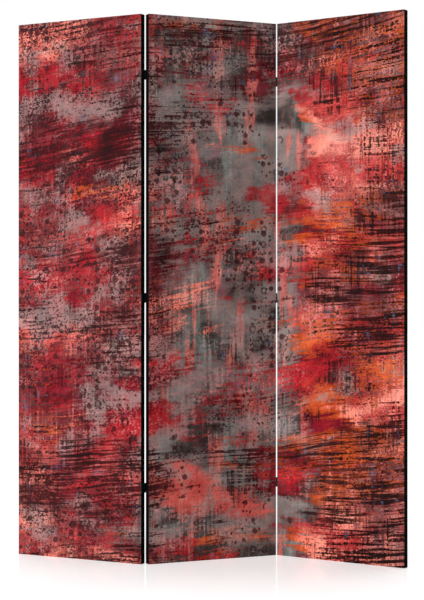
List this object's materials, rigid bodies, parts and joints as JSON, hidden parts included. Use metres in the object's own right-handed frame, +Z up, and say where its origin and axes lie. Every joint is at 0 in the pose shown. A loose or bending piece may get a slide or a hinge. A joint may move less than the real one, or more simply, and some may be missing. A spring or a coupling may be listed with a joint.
{
  "type": "folding screen",
  "caption": "Free-standing folding screen of printed canvas panels on wooden frames, joined by two-way hinges so that each panel folds to the front or to the back.",
  "frame": {"origin": "middle of the underside of the middle panel, on the floor", "axes": "+X along the middle panel, to the right as seen from the printed side; +Y from the print to the back of the middle panel; +Z up"},
  "size_m": [1.0129, 0.7609, 1.72],
  "materials": {
    "printed_canvas": "matt printed cotton canvas, black on the sides and the turned edges",
    "back_cloth": "matt black cloth",
    "timber": "planed softwood, unfinished",
    "hinge_metal": "black lacquered sheet steel",
    "pin_steel": "plain steel wire with peened heads",
    "screw_steel": "dark zinc-plated steel",
    "staple_wire": "galvanised wire"
  },
  "bodies": {
    "panel_middle": {"middle_canvas": "printed_canvas", "middle_back_cloth": "back_cloth", "middle_stile_left": "timber", "middle_stile_right": "timber", "middle_rail_top": "timber", "middle_rail_bottom": "timber", "middle_cross_upper": "timber", "middle_cross_lower": "timber", "middle_staples": "staple_wire", "left_hinge_low_back_leaf": "hinge_metal", "left_hinge_mid_back_leaf": "hinge_metal", "left_hinge_high_back_leaf": "hinge_metal", "right_hinge_low_front_leaf": "hinge_metal", "right_hinge_mid_front_leaf": "hinge_metal", "right_hinge_high_front_leaf": "hinge_metal", "left_hinge_back_pins": "pin_steel", "right_hinge_front_pins": "pin_steel", "left_hinge_back_screws": "screw_steel", "right_hinge_front_screws": "screw_steel"},
    "links_left": {"left_hinge_low_link": "hinge_metal", "left_hinge_mid_link": "hinge_metal", "left_hinge_high_link": "hinge_metal"},
    "panel_left": {"left_canvas": "printed_canvas", "left_back_cloth": "back_cloth", "left_stile_outer": "timber", "left_stile_hinged": "timber", "left_rail_top": "timber", "left_rail_bottom": "timber", "left_cross_upper": "timber", "left_cross_lower": "timber", "left_staples": "staple_wire", "left_hinge_low_front_leaf": "hinge_metal", "left_hinge_mid_front_leaf": "hinge_metal", "left_hinge_high_front_leaf": "hinge_metal", "left_hinge_front_pins": "pin_steel", "left_hinge_front_screws": "screw_steel"},
    "links_right": {"right_hinge_low_link": "hinge_metal", "right_hinge_mid_link": "hinge_metal", "right_hinge_high_link": "hinge_metal"},
    "panel_right": {"right_canvas": "printed_canvas", "right_back_cloth": "back_cloth", "right_stile_hinged": "timber", "right_stile_outer": "timber", "right_rail_top": "timber", "right_rail_bottom": "timber", "right_cross_upper": "timber", "right_cross_lower": "timber", "right_staples": "staple_wire", "right_hinge_low_back_leaf": "hinge_metal", "right_hinge_mid_back_leaf": "hinge_metal", "right_hinge_high_back_leaf": "hinge_metal", "right_hinge_back_pins": "pin_steel", "right_hinge_back_screws": "screw_steel"}
  },
  "joints": [
    {"name": "left_fold_back", "type": "hinge", "parent": "panel_middle", "child": "links_left", "pos_m": [-0.2264, 0.0131, 0], "axis": [0, 0, -1], "range_deg": [-51.2, 128.8]},
    {"name": "left_fold_front", "type": "hinge", "parent": "links_left", "child": "panel_left", "pos_m": [-0.24682, -0.00332, 0], "axis": [0, 0, 1], "range_deg": [0, 90]},
    {"name": "right_fold_front", "type": "hinge", "parent": "panel_middle", "child": "links_right", "pos_m": [0.2264, -0.0131, 0], "axis": [0, 0, -1], "range_deg": [-58.4, 121.6]},
    {"name": "right_fold_back", "type": "hinge", "parent": "links_right", "child": "panel_right", "pos_m": [0.24871, 0.00063, 0], "axis": [0, 0, 1], "range_deg": [0, 90]}
  ]
}
